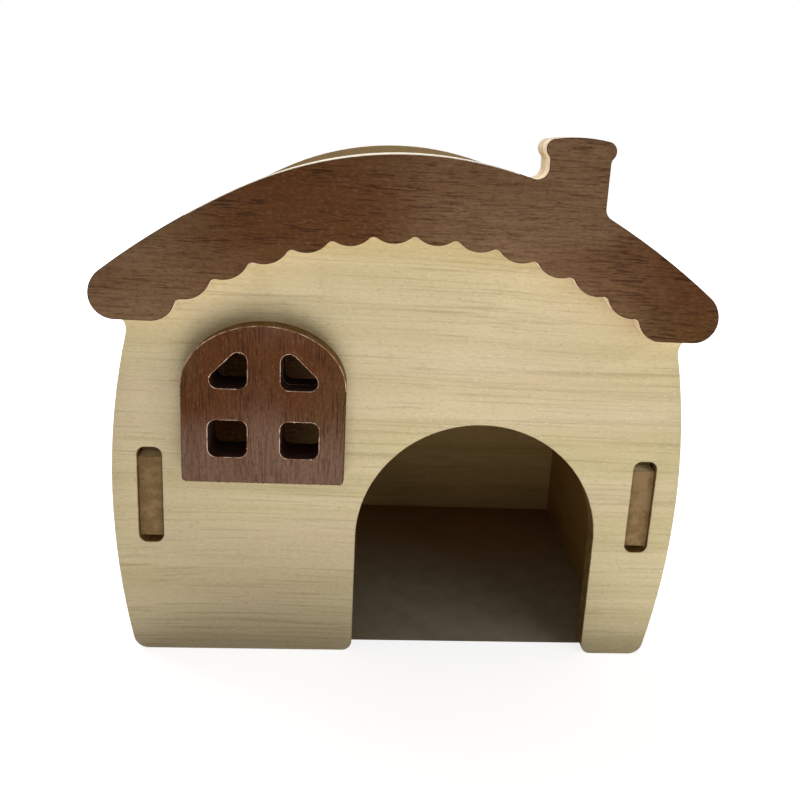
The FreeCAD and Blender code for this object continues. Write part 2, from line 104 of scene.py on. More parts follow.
def objectPlace(tree):
    return addNode(tree, "ShaderNodeTexCoord").outputs["Object"]


# Object coordinates as one value for each axis
def placeAxes(tree):
    return addNode(tree, "ShaderNodeSeparateXYZ", {0: objectPlace(tree)}).outputs


# Object coordinates turned so that the grain runs along X
def grainCoords(tree, along):
    turn = {"x": (0, 0, 0), "y": (0, 0, -math.pi / 2), "z": (0, math.pi / 2, 0)}[along]
    return addNode(tree, "ShaderNodeMapping", {
        "Vector": objectPlace(tree), "Rotation": turn}).outputs[0]


# Noise drawn out along the grain; along and across are features per metre
def grainNoise(tree, coords, along, across, detail=2.0, roughness=0.5, shift=0.0):
    stretched = addNode(tree, "ShaderNodeMapping", {
        "Vector": coords, "Scale": (along, across, across), "Location": (shift, shift, shift)})
    noise = addNode(tree, "ShaderNodeTexNoise", {
        "Vector": stretched.outputs[0], "Scale": 1.0, "Detail": detail, "Roughness": roughness})
    return noise.outputs["Fac"]


def grainNoises(tree, coords, kinds):
    return {name: grainNoise(tree, coords, **kind) for name, kind in kinds.items()}


# Bends the coordinates a little across the grain, so that the figure wanders
def wander(tree, coords, reach, along, across):
    slow = grainNoise(tree, coords, along, across, detail=1.0, shift=7.3)
    lift = mathNode(tree, "MULTIPLY", mathNode(tree, "SUBTRACT", slow, 0.5), reach)
    offset = addNode(tree, "ShaderNodeCombineXYZ", {"Y": lift, "Z": lift}).outputs[0]
    return addNode(tree, "ShaderNodeVectorMath", {0: coords, 1: offset},
                   operation="ADD").outputs[0]


# Lays one colour over another where a value passes the step: its start, its end and the share
# that it reaches
def coat(tree, colour, value, step, over):
    return mixColour(tree, softStep(tree, value, *step), colour, paint(*over))


# Lays each tint of the list where all its steps, each along one axis, say so
def addTints(tree, colour, tints):
    axes = placeAxes(tree)
    for tint, steps in tints:
        share = 1.0
        for axis, start, end in steps:
            share = mathNode(tree, "MULTIPLY", softStep(tree, axes[axis], start, end), share)
        colour = mixColour(tree, share, colour, paint(*tint))
    return colour


# Rougher where the noise is high
def wornRoughness(tree, noise, spec):
    return mathNode(tree, "ADD", softStep(tree, noise, *spec["wornStep"]), spec["roughness"])


def finishSurface(tree, colour, rough, height, spec):
    bump = addNode(tree, "ShaderNodeBump", {
        "Height": height, "Strength": spec["bumpStrength"], "Distance": spec["bumpDepth"]})
    surface = addNode(tree, "ShaderNodeBsdfPrincipled", {
        "Base Color": colour, "Roughness": rough, "Normal": bump.outputs[0],
        "Specular IOR Level": spec["specular"]})
    addNode(tree, "ShaderNodeOutputMaterial", {"Surface": surface.outputs[0]})


# Each step says from which level of a noise a colour starts to show, at which level it shows
# in full, and its share there
creamLaminate = {
    "light": (216, 199, 157), "deep": (203, 186, 140), "blush": (214, 193, 157),
    "line": (160, 141, 100), "speck": (168, 148, 108), "glint": (234, 220, 186),
    "deepStep": (0.34, 0.66, 1.0), "blushStep": (0.45, 0.65, 0.70),
    "lineStep": (0.50, 0.74, 0.46), "driftStep": (0.34, 0.64, 1.0),
    "hairStep": (0.57, 0.72, 0.32), "speckStep": (0.52, 0.72, 0.34),
    "glintStep": (0.54, 0.74, 0.34), "wornStep": (0.3, 0.8, 0.14), "roughness": 0.52,
    "specular": 0.3, "bumpStrength": 0.3, "bumpDepth": 0.05 * mm, "tints": [],
    "wander": {"reach": 5.0 * mm, "along": 11.0, "across": 24.2},
}
creamGrain = {
    "bands": {"along": 6.0, "across": 210.0, "detail": 4.0},
    "warmth": {"along": 14.0, "across": 60.0, "shift": 8.2},
    "drifts": {"along": 9.0, "across": 150.0, "shift": 2.6},
    "lines": {"along": 16.0, "across": 1300.0, "shift": 3.1},
    "hairs": {"along": 34.0, "across": 1900.0, "detail": 1.0, "shift": 6.4},
    "specks": {"along": 900.0, "across": 2500.0, "roughness": 0.7, "shift": 5.5},
    "glints": {"along": 800.0, "across": 2300.0, "roughness": 0.7, "shift": 1.7},
}


def makeCream(name, along, spec=creamLaminate):
    material, tree = newMaterial(name)
    coords = wander(tree, grainCoords(tree, along), **spec["wander"])
    grain = grainNoises(tree, coords, creamGrain)
    colour = coat(tree, paint(*spec["light"]), grain["bands"], spec["deepStep"], spec["deep"])
    colour = coat(tree, colour, grain["warmth"], spec["blushStep"], spec["blush"])
    colour = addTints(tree, colour, spec["tints"])
    lineShare = mathNode(tree, "MULTIPLY", softStep(tree, grain["drifts"], *spec["driftStep"]),
                         softStep(tree, grain["lines"], *spec["lineStep"]))
    colour = mixColour(tree, lineShare, colour, paint(*spec["line"]))
    colour = coat(tree, colour, grain["hairs"], spec["hairStep"], spec["line"])
    colour = coat(tree, colour, grain["specks"], spec["speckStep"], spec["speck"])
    colour = coat(tree, colour, grain["glints"], spec["glintStep"], spec["glint"])
    rough = wornRoughness(tree, grain["specks"], spec)
    height = mathNode(tree, "SUBTRACT", grain["glints"], grain["specks"])
    finishSurface(tree, colour, rough, height, spec)
    return material


walnutLaminate = {
    "deep": (90, 53, 20), "olive": (92, 67, 32), "red": (97, 56, 30), "fibre": (62, 36, 15),
    "dust": (150, 118, 92), "pore": (48, 24, 8), "fleck": (150, 116, 88),
    "deepStep": (0.24, 0.76, 1.0), "oliveStep": (0.52, 0.70, 0.5), "redStep": (0.48, 0.30, 0.4),
    "fibreStep": (0.42, 0.72, 0.34), "dustStep": (0.50, 0.74, 0.20),
    "gritStep": (0.50, 0.28, 0.42), "poreStep": (0.53, 0.62, 0.80),
    "driftStep": (0.30, 0.54, 1.0), "fleckStep": (0.74, 0.84, 0.22),
    "patchShare": 0.6, "patchLeast": 0.2, "poreDeepStep": (0.24, 0.62, 0.5), "poreLeast": 0.5,
    "wornStep": (0.3, 0.8, 0.16), "roughness": 0.55, "specular": 0.10, "bumpStrength": 0.4,
    "bumpDepth": 0.06 * mm, "wander": {"reach": 2.5 * mm, "along": 16.0, "across": 35.2},
}
walnutGrain = {
    "patches": {"along": 30.0, "across": 90.0, "detail": 3.0},
    "warmth": {"along": 22.0, "across": 70.0, "shift": 6.1},
    "fibre": {"along": 90.0, "across": 2600.0, "detail": 3.0, "roughness": 0.65},
    "drifts": {"along": 55.0, "across": 300.0, "shift": 8.8},
    "grit": {"along": 900.0, "across": 2100.0, "roughness": 0.7, "shift": 1.3},
    "flecks": {"along": 700.0, "across": 1700.0, "detail": 1.0, "shift": 2.9},
}
# The tone swings from deep to pale and back along one axis
fasciaFigure = {
    "toneAxis": "X", "deepAt": -19 * mm, "toneSpan": 84 * mm, "swing": 0.24,
    "pores": {"along": 200.0, "across": 2900.0, "roughness": 0.6, "shift": 4.2},
    "pale": (127, 97, 69),
}
frameFigure = {
    "toneAxis": "Z", "deepAt": 67 * mm, "toneSpan": 46 * mm, "swing": 0.32,
    "pores": {**fasciaFigure["pores"], "along": 230.0},
    "pale": (120, 90, 73), "deep": (88, 47, 14), "red": (96, 52, 26),
}


def makeWalnut(name, along, figure):
    spec = {**walnutLaminate, **figure}
    material, tree = newMaterial(name)
    coords = wander(tree, grainCoords(tree, along), **spec["wander"])
    grain = grainNoises(tree, coords, {**walnutGrain, "pores": spec["pores"]})
    away = mathNode(tree, "SUBTRACT", placeAxes(tree)[spec["toneAxis"]], spec["deepAt"])
    turns = mathNode(tree, "DIVIDE", away, spec["toneSpan"])
    wave = mathNode(tree, "COSINE", mathNode(tree, "MULTIPLY", turns, math.tau))
    swing = mathNode(tree, "MULTIPLY", wave, spec["swing"])
    patches = mathNode(tree, "MULTIPLY", grain["patches"], spec["patchShare"])
    tone = mathNode(tree, "ADD", swing, mathNode(tree, "ADD", patches, spec["patchLeast"]))
    colour = coat(tree, paint(*spec["pale"]), tone, spec["deepStep"], spec["deep"])
    colour = coat(tree, colour, grain["warmth"], spec["oliveStep"], spec["olive"])
    colour = coat(tree, colour, grain["warmth"], spec["redStep"], spec["red"])
    colour = coat(tree, colour, grain["fibre"], spec["fibreStep"], spec["fibre"])
    colour = coat(tree, colour, grain["grit"], spec["dustStep"], spec["dust"])
    colour = coat(tree, colour, grain["grit"], spec["gritStep"], spec["fibre"])
    # Pores gather in drifts and are darker where the tone is deep
    deeper = mathNode(tree, "ADD", softStep(tree, tone, *spec["poreDeepStep"]), spec["poreLeast"])
    poreShare = mathNode(tree, "MULTIPLY", softStep(tree, grain["pores"], *spec["poreStep"]),
                         softStep(tree, grain["drifts"], *spec["driftStep"]))
    poreShare = mathNode(tree, "MULTIPLY", poreShare, deeper)
    colour = mixColour(tree, poreShare, colour, paint(*spec["pore"]))
    colour = coat(tree, colour, grain["flecks"], spec["fleckStep"], spec["fleck"])
    rough = wornRoughness(tree, grain["fibre"], spec)
    height = mathNode(tree, "SUBTRACT", grain["fibre"], poreShare)
    finishSurface(tree, colour, rough, height, spec)
    return material


# The bare fibre board; its pale colours are partly a painted highlight of the strong top light
boardCore = {
    "pale": (242, 222, 193), "dark": (232, 210, 177), "fleck": (190, 162, 126),
    "darkStep": (0.40, 0.60, 1.0), "fleckFrom": 0.52, "fleckTo": 0.72, "fleckShare": 0.45,
    "mottlePerMetre": 380.0, "speckPerMetre": 1700.0, "wornStep": (0.3, 0.8, 0.10),
    "roughness": 0.85, "specular": 0.2, "bumpStrength": 0.6, "bumpDepth": 0.10 * mm,
    # Painted highlight: near white at the crown of the roof line
    "tints": [((252, 243, 225), [("Z", 92 * mm, 114 * mm), ("X", 27 * mm, 9 * mm)])],
}


# Cut edges and worn rims of the fibre board; boardCore's tint is a near-white painted highlight
# on the crown of the roof line
def makeCore(name, spec):
    material, tree = newMaterial(name)
    coords = objectPlace(tree)
    slow, quick = spec["mottlePerMetre"], spec["speckPerMetre"]
    mottle = grainNoise(tree, coords, slow, slow, detail=4.0, roughness=0.6)
    specks = grainNoise(tree, coords, quick, quick, detail=3.0, roughness=0.7, shift=2.0)
    colour = coat(tree, paint(*spec["pale"]), mottle, spec["darkStep"], spec["dark"])
    fleckStep = (spec["fleckFrom"], spec["fleckTo"], spec["fleckShare"])
    colour = coat(tree, colour, specks, fleckStep, spec["fleck"])
    colour = addTints(tree, colour, spec["tints"])
    finishSurface(tree, colour, wornRoughness(tree, specks, spec), specks, spec)
    return material


# A core in other colours, without the crown's painted highlight
def coreLike(colours, **changes):
    pale, dark, fleck = colours
    return {**boardCore, "pale": pale, "dark": dark, "fleck": fleck, "tints": [], **changes}


# The inner faces are a yellower copy of the cream print, as painted shade for the dark inside of
# the house: a greyer painted shade above the roof board and plain cream past the side walls;
# those of the side walls are a brown painted shade, and behind the window lies a dark painted
# shade
# Painted shade: greyer, darker inner faces from below the roof board upwards
shadeAboveRoofTint = ((186, 163, 124), [("Z", 66 * mm, 100 * mm)])
# Cream again, without painted shade, where the inner faces pass the side walls
pastWalls = [((205, 186, 145), [("X", side * 52 * mm, side * 57 * mm)]) for side in (-1, 1)]
# Painted shade: dark brown on the inner faces, growing from the doorway's left edge towards the
# left wall
shadeBehindWindowTint = ((104, 62, 26), [("X", -8 * mm, -34 * mm)])
shadedInnerLaminate = {
    **creamLaminate, "light": (206, 174, 108), "deep": (194, 161, 94), "blush": (206, 169, 106),
    "line": (146, 118, 64), "speck": (156, 126, 70), "glint": (216, 188, 126),
    "tints": [shadeAboveRoofTint, *pastWalls],
}
shadedBackLaminate = {**shadedInnerLaminate, "tints": [shadeBehindWindowTint, shadeAboveRoofTint, *pastWalls]}
shadedWallLaminate = {
    **shadedInnerLaminate, "light": (182, 142, 76), "deep": (170, 130, 64), "blush": (180, 138, 74),
    "line": (134, 100, 46), "speck": (142, 104, 50), "glint": (196, 158, 94),
    "tints": [shadeBehindWindowTint],
}
creamAlongX = makeCream("creamLaminateAcross", "x")
creamAlongY = makeCream("creamLaminateDeep", "y")
shadedInnerAlongX = makeCream("shadedInnerLaminateAcross", "x", shadedInnerLaminate)
shadedWallAlongY = makeCream("shadedWallLaminateDeep", "y", shadedWallLaminate)
shadedBackAlongX = makeCream("shadedBackLaminateAcross", "x", shadedBackLaminate)
walnutAlongX = makeWalnut("walnutLaminateAcross", "x", fasciaFigure)
walnutAlongZ = makeWalnut("walnutLaminateUpright", "z", frameFigure)

# Each core has a pale, a dark and a fleck colour
# Painted highlight: the outline fibre, paler than the bare board's tan
paleHighlightFibre = ((222, 201, 166), (213, 191, 156), (168, 142, 106))
# Painted shade: the cut fibre in slots, the doorway and the window frame's outer edge
shadedCutFibre = ((118, 90, 44), (96, 70, 30), (70, 46, 18))
# Painted shade: near-black fibre in the pane holes behind the window
deepShadeFibre = ((58, 30, 14), (40, 18, 8), (24, 10, 4))
tabFibre = ((148, 120, 82), (128, 102, 64), (166, 140, 106))
# Painted light: near white, so that the tab top deep in its slot renders brown
tabTopLightFibre = ((255, 236, 186), (246, 226, 172), (226, 200, 146))
backingFibre = ((150, 126, 90), (132, 108, 72), (104, 80, 50))
creamWear = ((206, 186, 148), (180, 158, 120), (140, 116, 80))
walnutWear = ((74, 48, 30), (52, 32, 18), (130, 96, 70))
chippedWear = ((248, 214, 190), (150, 104, 78), (84, 50, 32))
# Painted highlight: the pale line on the sill of the upper right pane
sillHighlightColours = ((236, 220, 198), (196, 172, 144), (130, 104, 78))
backing = makeCore("brownBacking", coreLike(backingFibre))
brightHighlightEdge = makeCore("fibreBoardBrightHighlight", boardCore)
paleHighlightEdge = makeCore("fibreBoardEdgeHighlight", coreLike(paleHighlightFibre))
crownHighlightEdge = makeCore("fibreBoardCrownHighlight", coreLike(paleHighlightFibre, tints=boardCore["tints"]))
shadedCutEdge = makeCore("fibreBoardCutShade", coreLike(shadedCutFibre))
deepShadeEdge = makeCore("fibreBoardDeepShade", coreLike(deepShadeFibre))
tabEnd = makeCore("fibreBoardTab", coreLike(tabFibre))
paintedLightTabTop = makeCore("fibreBoardTabTopLit", coreLike(tabTopLightFibre))
creamEdge = makeCore("creamLaminateRim", coreLike(creamWear))
walnutEdge = makeCore("walnutLaminateRim", coreLike(walnutWear, fleckShare=0.35))
chippedEdge = makeCore("chippedRim", coreLike(chippedWear, mottlePerMetre=650.0, fleckShare=0.6))
sillHighlightEdge = makeCore("sillHighlightRim", coreLike(sillHighlightColours))
print("materials made:", len(bpy.data.materials))


# How boards are made from their solids: points within mergeWithin are one, an edge that turns
# more than rimFrom is a rim, and a face whose normal has broadFrom of an axis is a broad one
making = {
    "mergeWithin": 0.001 * mm, "flatWithin": math.radians(0.1), "rimFrom": math.radians(40),
    "creaseFrom": math.radians(35), "broadFrom": 0.99, "onPlane": 0.01 * mm, "rimProfile": 0.6,
}


# A closed copy of a board's solid, its flat faces whole again
def closedCopy(node):
    board = bmesh.new()
    board.from_mesh(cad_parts[node].data)
    bmesh.ops.remove_doubles(board, verts=board.verts, dist=making["mergeWithin"])
    bmesh.ops.dissolve_limit(board, angle_limit=making["flatWithin"], verts=board.verts,
                             edges=board.edges)
    return board


def isRim(edge):
    return len(edge.link_faces) == 2 and edge.calc_face_angle() > making["rimFrom"]


# Whether an edge lies in one of the planes, each an axis and a level, that keep it sharp
def staysSharp(edge, planes):
    return any(all(abs(vertex.co[axis] - level) < making["onPlane"] for vertex in edge.verts)
               for axis, level in planes)


# One board. Its two broad faces, its cut edges and the narrow worn rims between them each
# get a finish; edgeOf names the finish of an edge face, rimOf that of a rim
def makeBoard(node, body, spec):
    board = closedCopy(node)
    finishes = list(spec["finishes"])
    rimMark = len(finishes)
    for face in board.faces:
        facing = face.normal[spec["faceAxis"]] * spec["outside"]
        if abs(facing) > making["broadFrom"]:
            name = "outside" if facing > 0 else "inside"
        else:
            name = spec["edgeOf"](face.calc_center_median(), face.normal)
        face.material_index = finishes.index(name)
    rims = [edge for edge in board.edges
            if isRim(edge) and not staysSharp(edge, spec["sharpPlanes"])]
    bmesh.ops.bevel(board, geom=rims, offset=spec["rimWidth"], offset_type="OFFSET",
                    segments=spec["rimSteps"], profile=making["rimProfile"], affect="EDGES",
                    material=rimMark, clamp_overlap=False, loop_slide=True)
    for face in board.faces:
        face.smooth = True
        if face.material_index == rimMark:
            face.material_index = finishes.index(spec["rimOf"](face.calc_center_median()))
    mesh = bpy.data.meshes.new(node + "_finished")
    board.to_mesh(mesh)
    board.free()
    for material in spec["finishes"].values():
        mesh.materials.append(material)
    mesh.set_sharp_from_angle(angle=making["creaseFrom"])
    piece = newObject(node + "_finished", mesh)
    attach(piece, body)
    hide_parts(node)
    print(node, "board:", len(mesh.polygons), "faces")


frontInside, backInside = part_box("front_panel")[1].y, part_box("back_panel")[0].y
leftInside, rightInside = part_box("left_side_wall")[1].x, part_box("right_side_wall")[0].x
frameLow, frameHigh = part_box("window_frame")
frameMiddle = (frameLow.x + frameHigh.x) / 2
panelPlaces = {
    "windowMargin": 1 * mm, "holesWithin": 57.2 * mm, "holesFrom": 1 * mm, "holesTo": 72 * mm,
    "crownHighlightFrom": 98 * mm, "crownHighlightEnd": 21 * mm, "sillFrom": 60 * mm, "sillTo": 67 * mm,
}


def behindWindow(centre):
    margin = panelPlaces["windowMargin"]
    return (frameLow.x - margin < centre.x < frameHigh.x + margin
            and frameLow.z - margin < centre.z < frameHigh.z + margin)


# The crown of the roof line, whose rims get the near-white painted highlight of the cut edge
def inCrownHighlight(centre):
    return centre.z > panelPlaces["crownHighlightFrom"] and centre.x < panelPlaces["crownHighlightEnd"]


# A panel's outline is a pale painted highlight; its slots and doorway are a brown painted shade
def backEdge(centre, normal):
    inHole = (abs(centre.x) < panelPlaces["holesWithin"]
              and panelPlaces["holesFrom"] < centre.z < panelPlaces["holesTo"])
    return "cut" if inHole else "outline"


# Behind the window the cut edges are a near-black painted shade
def frontEdge(centre, normal):
    return "deepShade" if behindWindow(centre) else backEdge(centre, normal)


# Only the sill of the upper right pane has a rim with a painted highlight; the other pane
# rims are a near-black painted shade
def frontRim(centre):
    if behindWindow(centre):
        onSill = (centre.x > frameMiddle
                  and panelPlaces["sillFrom"] < centre.z < panelPlaces["sillTo"])
        return "sillHighlight" if onSill else "deepShade"
    return "outline" if inCrownHighlight(centre) else "rim"


frontPanel = {
    "faceAxis": 1, "outside": -1, "rimWidth": 0.15 * mm, "rimSteps": 2,
    "sharpPlanes": [(1, frontInside)], "edgeOf": frontEdge, "rimOf": frontRim,
    "finishes": {"outside": creamAlongX, "inside": shadedInnerAlongX, "outline": crownHighlightEdge,
                 "cut": shadedCutEdge, "deepShade": deepShadeEdge, "rim": creamEdge, "sillHighlight": sillHighlightEdge},
}
makeBoard("front_panel", "house", frontPanel)

backPanel = {
    "faceAxis": 1, "outside": 1, "rimWidth": 0.15 * mm, "rimSteps": 2,
    "sharpPlanes": [(1, backInside)], "edgeOf": backEdge, "rimOf": lambda centre: "rim",
    "finishes": {"outside": creamAlongX, "inside": shadedBackAlongX, "outline": paleHighlightEdge,
                 "cut": shadedCutEdge, "rim": creamEdge},
}
makeBoard("back_panel", "house", backPanel)

fascia = {
    "faceAxis": 1, "outside": -1, "rimWidth": 0.14 * mm, "rimSteps": 2, "sharpPlanes": [],
    "edgeOf": lambda centre, normal: "outline",
    "rimOf": lambda centre: "outline" if inCrownHighlight(centre) else "rim",
    "finishes": {"outside": walnutAlongX, "inside": backing, "outline": brightHighlightEdge,
                 "rim": walnutEdge},
}
makeBoard("roof_fascia", "house", fascia)


framePlaces = {"border": 2.0 * mm, "archFrom": 62.5 * mm}


# The lower sides of the window frame keep a dark rim; its arch and its panes are chipped
def onLowerSides(centre):
    border = framePlaces["border"]
    onSide = centre.x < frameLow.x + border or centre.x > frameHigh.x - border
    return centre.z < framePlaces["archFrom"] and (onSide or centre.z < frameLow.z + border)


# The frame's outer edge, measured from the middle of its arch
def onOutline(centre):
    border = framePlaces["border"]
    radius = frameHigh.x - frameMiddle
    spring = frameHigh.z - radius
    reach = math.hypot(centre.x - frameMiddle, max(centre.z - spring, 0))
    return reach > radius - border or centre.z < frameLow.z + border


# The frame's outer cut edge is a brown painted shade, and its pane holes a near-black one
windowFrame = {
    "faceAxis": 1, "outside": -1, "rimWidth": 0.12 * mm, "rimSteps": 1, "sharpPlanes": [],
    "edgeOf": lambda centre, normal: "outline" if onOutline(centre) else "deepShade",
    "rimOf": lambda centre: "rim" if onLowerSides(centre) else "chipped",
    "finishes": {"outside": walnutAlongZ, "inside": backing, "outline": shadedCutEdge,
                 "deepShade": deepShadeEdge, "chipped": chippedEdge, "rim": walnutEdge},
}
makeBoard("window_frame", "house", windowFrame)


tabPlaces = {"slotMargin": 0.1 * mm, "endFrom": 0.9}


# The part of a side wall's tab that lies in a slot
def inSlot(centre):
    margin = tabPlaces["slotMargin"]
    return centre.y < frontInside - margin or centre.y > backInside + margin


# A tab's end in a slot gets the tab fibre, and its top the near-white painted light
def wallEdge(centre, normal):
    if not inSlot(centre):
        return "outline"
    return "tab" if abs(normal.y) > tabPlaces["endFrom"] else "paintedLightTabTop"


sideWall = {
    "faceAxis": 0, "rimWidth": 0.12 * mm, "rimSteps": 2,
    "sharpPlanes": [(1, frontInside), (1, backInside)], "edgeOf": wallEdge,
    "rimOf": lambda centre: "tab" if inSlot(centre) else "rim",
    "finishes": {"outside": creamAlongY, "inside": shadedWallAlongY, "outline": paleHighlightEdge,
                 "tab": tabEnd, "paintedLightTabTop": paintedLightTabTop, "rim": creamEdge},
}
for side, outside in (("left", -1), ("right", 1)):
    makeBoard(side + "_side_wall", "house", {**sideWall, "outside": outside})

roofBoard = {
    "faceAxis": 2, "outside": 1, "rimWidth": 0.15 * mm, "rimSteps": 2, "sharpPlanes": [],
    "edgeOf": lambda centre, normal: "outline", "rimOf": lambda centre: "rim",
    "finishes": {"outside": creamAlongX, "inside": backing, "outline": paleHighlightEdge,
                 "rim": creamEdge},
}
makeBoard("roof_board", "roof", roofBoard)


# Torn flakes of laminate and fibre along the cut rims, one tree for all of them
def flakeTree():
    tree = bpy.data.node_groups.new("rimFlakes", "GeometryNodeTree")
    face = tree.interface
    face.new_socket("Geometry", in_out="INPUT", socket_type="NodeSocketGeometry")
    for name in ("Pitch", "Chance", "Least", "Most", "Spread"):
        face.new_socket(name, in_out="INPUT", socket_type="NodeSocketFloat")
    face.new_socket("Seed", in_out="INPUT", socket_type="NodeSocketInt")
    face.new_socket("Material", in_out="INPUT", socket_type="NodeSocketMaterial")
    face.new_socket("Geometry", in_out="OUTPUT", socket_type="NodeSocketGeometry")
    given = addNode(tree, "NodeGroupInput").outputs
    curve = addNode(tree, "GeometryNodeMeshToCurve", {"Mesh": given["Geometry"]})
    points = addNode(tree, "GeometryNodeResampleCurve", {
        "Curve": curve.outputs[0], "Length": given["Pitch"]}, mode="LENGTH")

    # A random vector for each point; sockets 0, 1 and 8 are its least, its most and its seed
    def scatter(least, most, seedShift):
        seed = mathNode(tree, "ADD", given["Seed"], seedShift)
        return addNode(tree, "FunctionNodeRandomValue", {0: least, 1: most, 8: seed},
                       data_type="FLOAT_VECTOR").outputs[0]

    noTurn, anyTurn = (0, 0, 0), (6.28, 6.28, 6.28)
    low = alikeAxes(tree, mathNode(tree, "MULTIPLY", given["Spread"], -1.0))
    high = alikeAxes(tree, given["Spread"])
    moved = addNode(tree, "GeometryNodeSetPosition", {
        "Geometry": points.outputs[0], "Offset": scatter(low, high, 1)})
    small = alikeAxes(tree, given["Least"])
    large = alikeAxes(tree, given["Most"])
    # Socket 6 is the chance of a yes, and output 3 gives the yes or no
    chosen = addNode(tree, "FunctionNodeRandomValue", {6: given["Chance"], 8: given["Seed"]},
                     data_type="BOOLEAN").outputs[3]
    flake = addNode(tree, "GeometryNodeMeshIcoSphere", {"Radius": 0.5, "Subdivisions": 1})
    copies = addNode(tree, "GeometryNodeInstanceOnPoints", {
        "Points": moved.outputs[0], "Selection": chosen, "Instance": flake.outputs[0],
        "Rotation": scatter(noTurn, anyTurn, 2), "Scale": scatter(small, large, 3)})
    whole = addNode(tree, "GeometryNodeRealizeInstances", {0: copies.outputs[0]})
    painted = addNode(tree, "GeometryNodeSetMaterial", {
        "Geometry": whole.outputs[0], "Material": given["Material"]})
    addNode(tree, "NodeGroupOutput", {"Geometry": painted.outputs[0]})
    return tree


flakes = flakeTree()


# Flakes on the front rim of one board, where keep says so
def addFlakes(name, node, body, spec, material, keep):
    board = closedCopy(node)
    front = min(vertex.co.y for vertex in board.verts)

    def onFront(edge):
        middle = (edge.verts[0].co + edge.verts[1].co) / 2
        return keep(middle) and all(
            abs(vertex.co.y - front) < making["mergeWithin"] for vertex in edge.verts)

    rims = [edge for edge in board.edges if isRim(edge) and onFront(edge)]
    numbers = {}
    for edge in rims:
        for vertex in edge.verts:
            numbers.setdefault(vertex, len(numbers))
    wires = bpy.data.meshes.new(name + "_wires")
    wires.from_pydata([vertex.co + Vector((0, spec["inset"], 0)) for vertex in numbers],
                      [tuple(numbers[vertex] for vertex in edge.verts) for edge in rims], [])
    board.free()
    guide = newObject(name + "_wires", wires)
    modifier = guide.modifiers.new("flakes", "NODES")
    modifier.node_group = flakes
    values = {"Pitch": spec["pitch"], "Chance": spec["chance"], "Least": spec["least"],
              "Most": spec["most"], "Spread": spec["spread"], "Seed": spec["seed"],
              "Material": material}
    for socket in flakes.interface.items_tree:
        if socket.in_out == "INPUT" and socket.name in values:
            modifier[socket.identifier] = values[socket.name]
    seen = guide.evaluated_get(bpy.context.evaluated_depsgraph_get())
    mesh = bpy.data.meshes.new_from_object(seen)
    bpy.data.objects.remove(guide)
    bpy.data.meshes.remove(wires)
    mesh.name = name
    piece = newObject(name, mesh)
    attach(piece, body)
    print(name + ":", len(mesh.polygons), "faces")


archFlakes = {"pitch": 0.25 * mm, "chance": 0.30, "least": 0.07 * mm, "most": 0.28 * mm,
              "spread": 0.05 * mm, "inset": 0.06 * mm, "seed": 4}
addFlakes("window_arch_flakes", "window_frame", "house", archFlakes, chippedEdge,
          lambda centre: not onLowerSides(centre))

sideFuzz = {"pitch": 0.25 * mm, "chance": 0.6, "least": 0.08 * mm, "most": 0.26 * mm,
            "spread": 0.07 * mm, "inset": 0.10 * mm, "seed": 9}
addFlakes("window_side_fuzz", "window_frame", "house", sideFuzz, walnutEdge,
          onLowerSides)

scallopFlakes = {"pitch": 0.5 * mm, "chance": 0.10, "least": 0.08 * mm, "most": 0.32 * mm,
                 "spread": 0.10 * mm, "inset": 0.12 * mm, "seed": 21}
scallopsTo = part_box("roof_fascia")[0].z + 20 * mm
scallopsWithin = 50 * mm
addFlakes("scallop_flakes", "roof_fascia", "house", scallopFlakes, creamEdge,
          lambda centre: centre.z < scallopsTo and abs(centre.x) < scallopsWithin)


# 1 where the camera sees a thing, straight or in gloss or through glass, and else 0
def seenShare(tree):
    path = addNode(tree, "ShaderNodeLightPath").outputs
    seen = mathNode(tree, "ADD", path["Is Camera Ray"], path["Is Glossy Ray"])
    return mathNode(tree, "ADD", seen, path["Is Transmission Ray"], clamp=True)


# Stage: a white floor, and a table top seen only inside the house
white = (1, 1, 1, 1)
stage = {
    "floorHalf": 3.0, "floorTone": 0.55, "floorGlow": 0.80, "glowFrom": 0.12, "glowTo": 0.55,
    "tableGap": 0.1 * mm, "tableReach": 0.7 * mm,
}
# The table top turns a deeper brown towards the back of the house, as painted shade
tableWood = {
    "tone": (172, 161, 136), "fleck": (162, 151, 126), "deep": (146, 106, 56),
    "fleckStep": (0.4, 0.62, 1.0), "deepStep": (-20 * mm, 48 * mm, 1.0),
    "grain": {"along": 140.0, "across": 140.0, "detail": 5.0, "roughness": 0.7},
    "roughness": 0.6, "specular": 0.5, "bumpStrength": 0.2, "bumpDepth": 0.1 * mm,
}


def whiteFloor():
    material, tree = newMaterial("studioFloor")
    tone = stage["floorTone"]
    matt = addNode(tree, "ShaderNodeBsdfDiffuse", {"Color": (tone, tone, tone, 1.0)})
    away = addNode(tree, "ShaderNodeVectorMath", {0: objectPlace(tree)}, operation="LENGTH")
    fade = addNode(tree, "ShaderNodeMapRange", {
        "Value": away.outputs["Value"], "From Min": stage["glowFrom"],
        "From Max": stage["glowTo"], "To Min": stage["floorGlow"], "To Max": 1.0}).outputs[0]
    glow = addNode(tree, "ShaderNodeEmission", {
        "Color": white, "Strength": mathNode(tree, "MULTIPLY", seenShare(tree), fade)})
    both = addNode(tree, "ShaderNodeAddShader", {0: matt.outputs[0], 1: glow.outputs[0]})
    addNode(tree, "ShaderNodeOutputMaterial", {"Surface": both.outputs[0]})
    return material


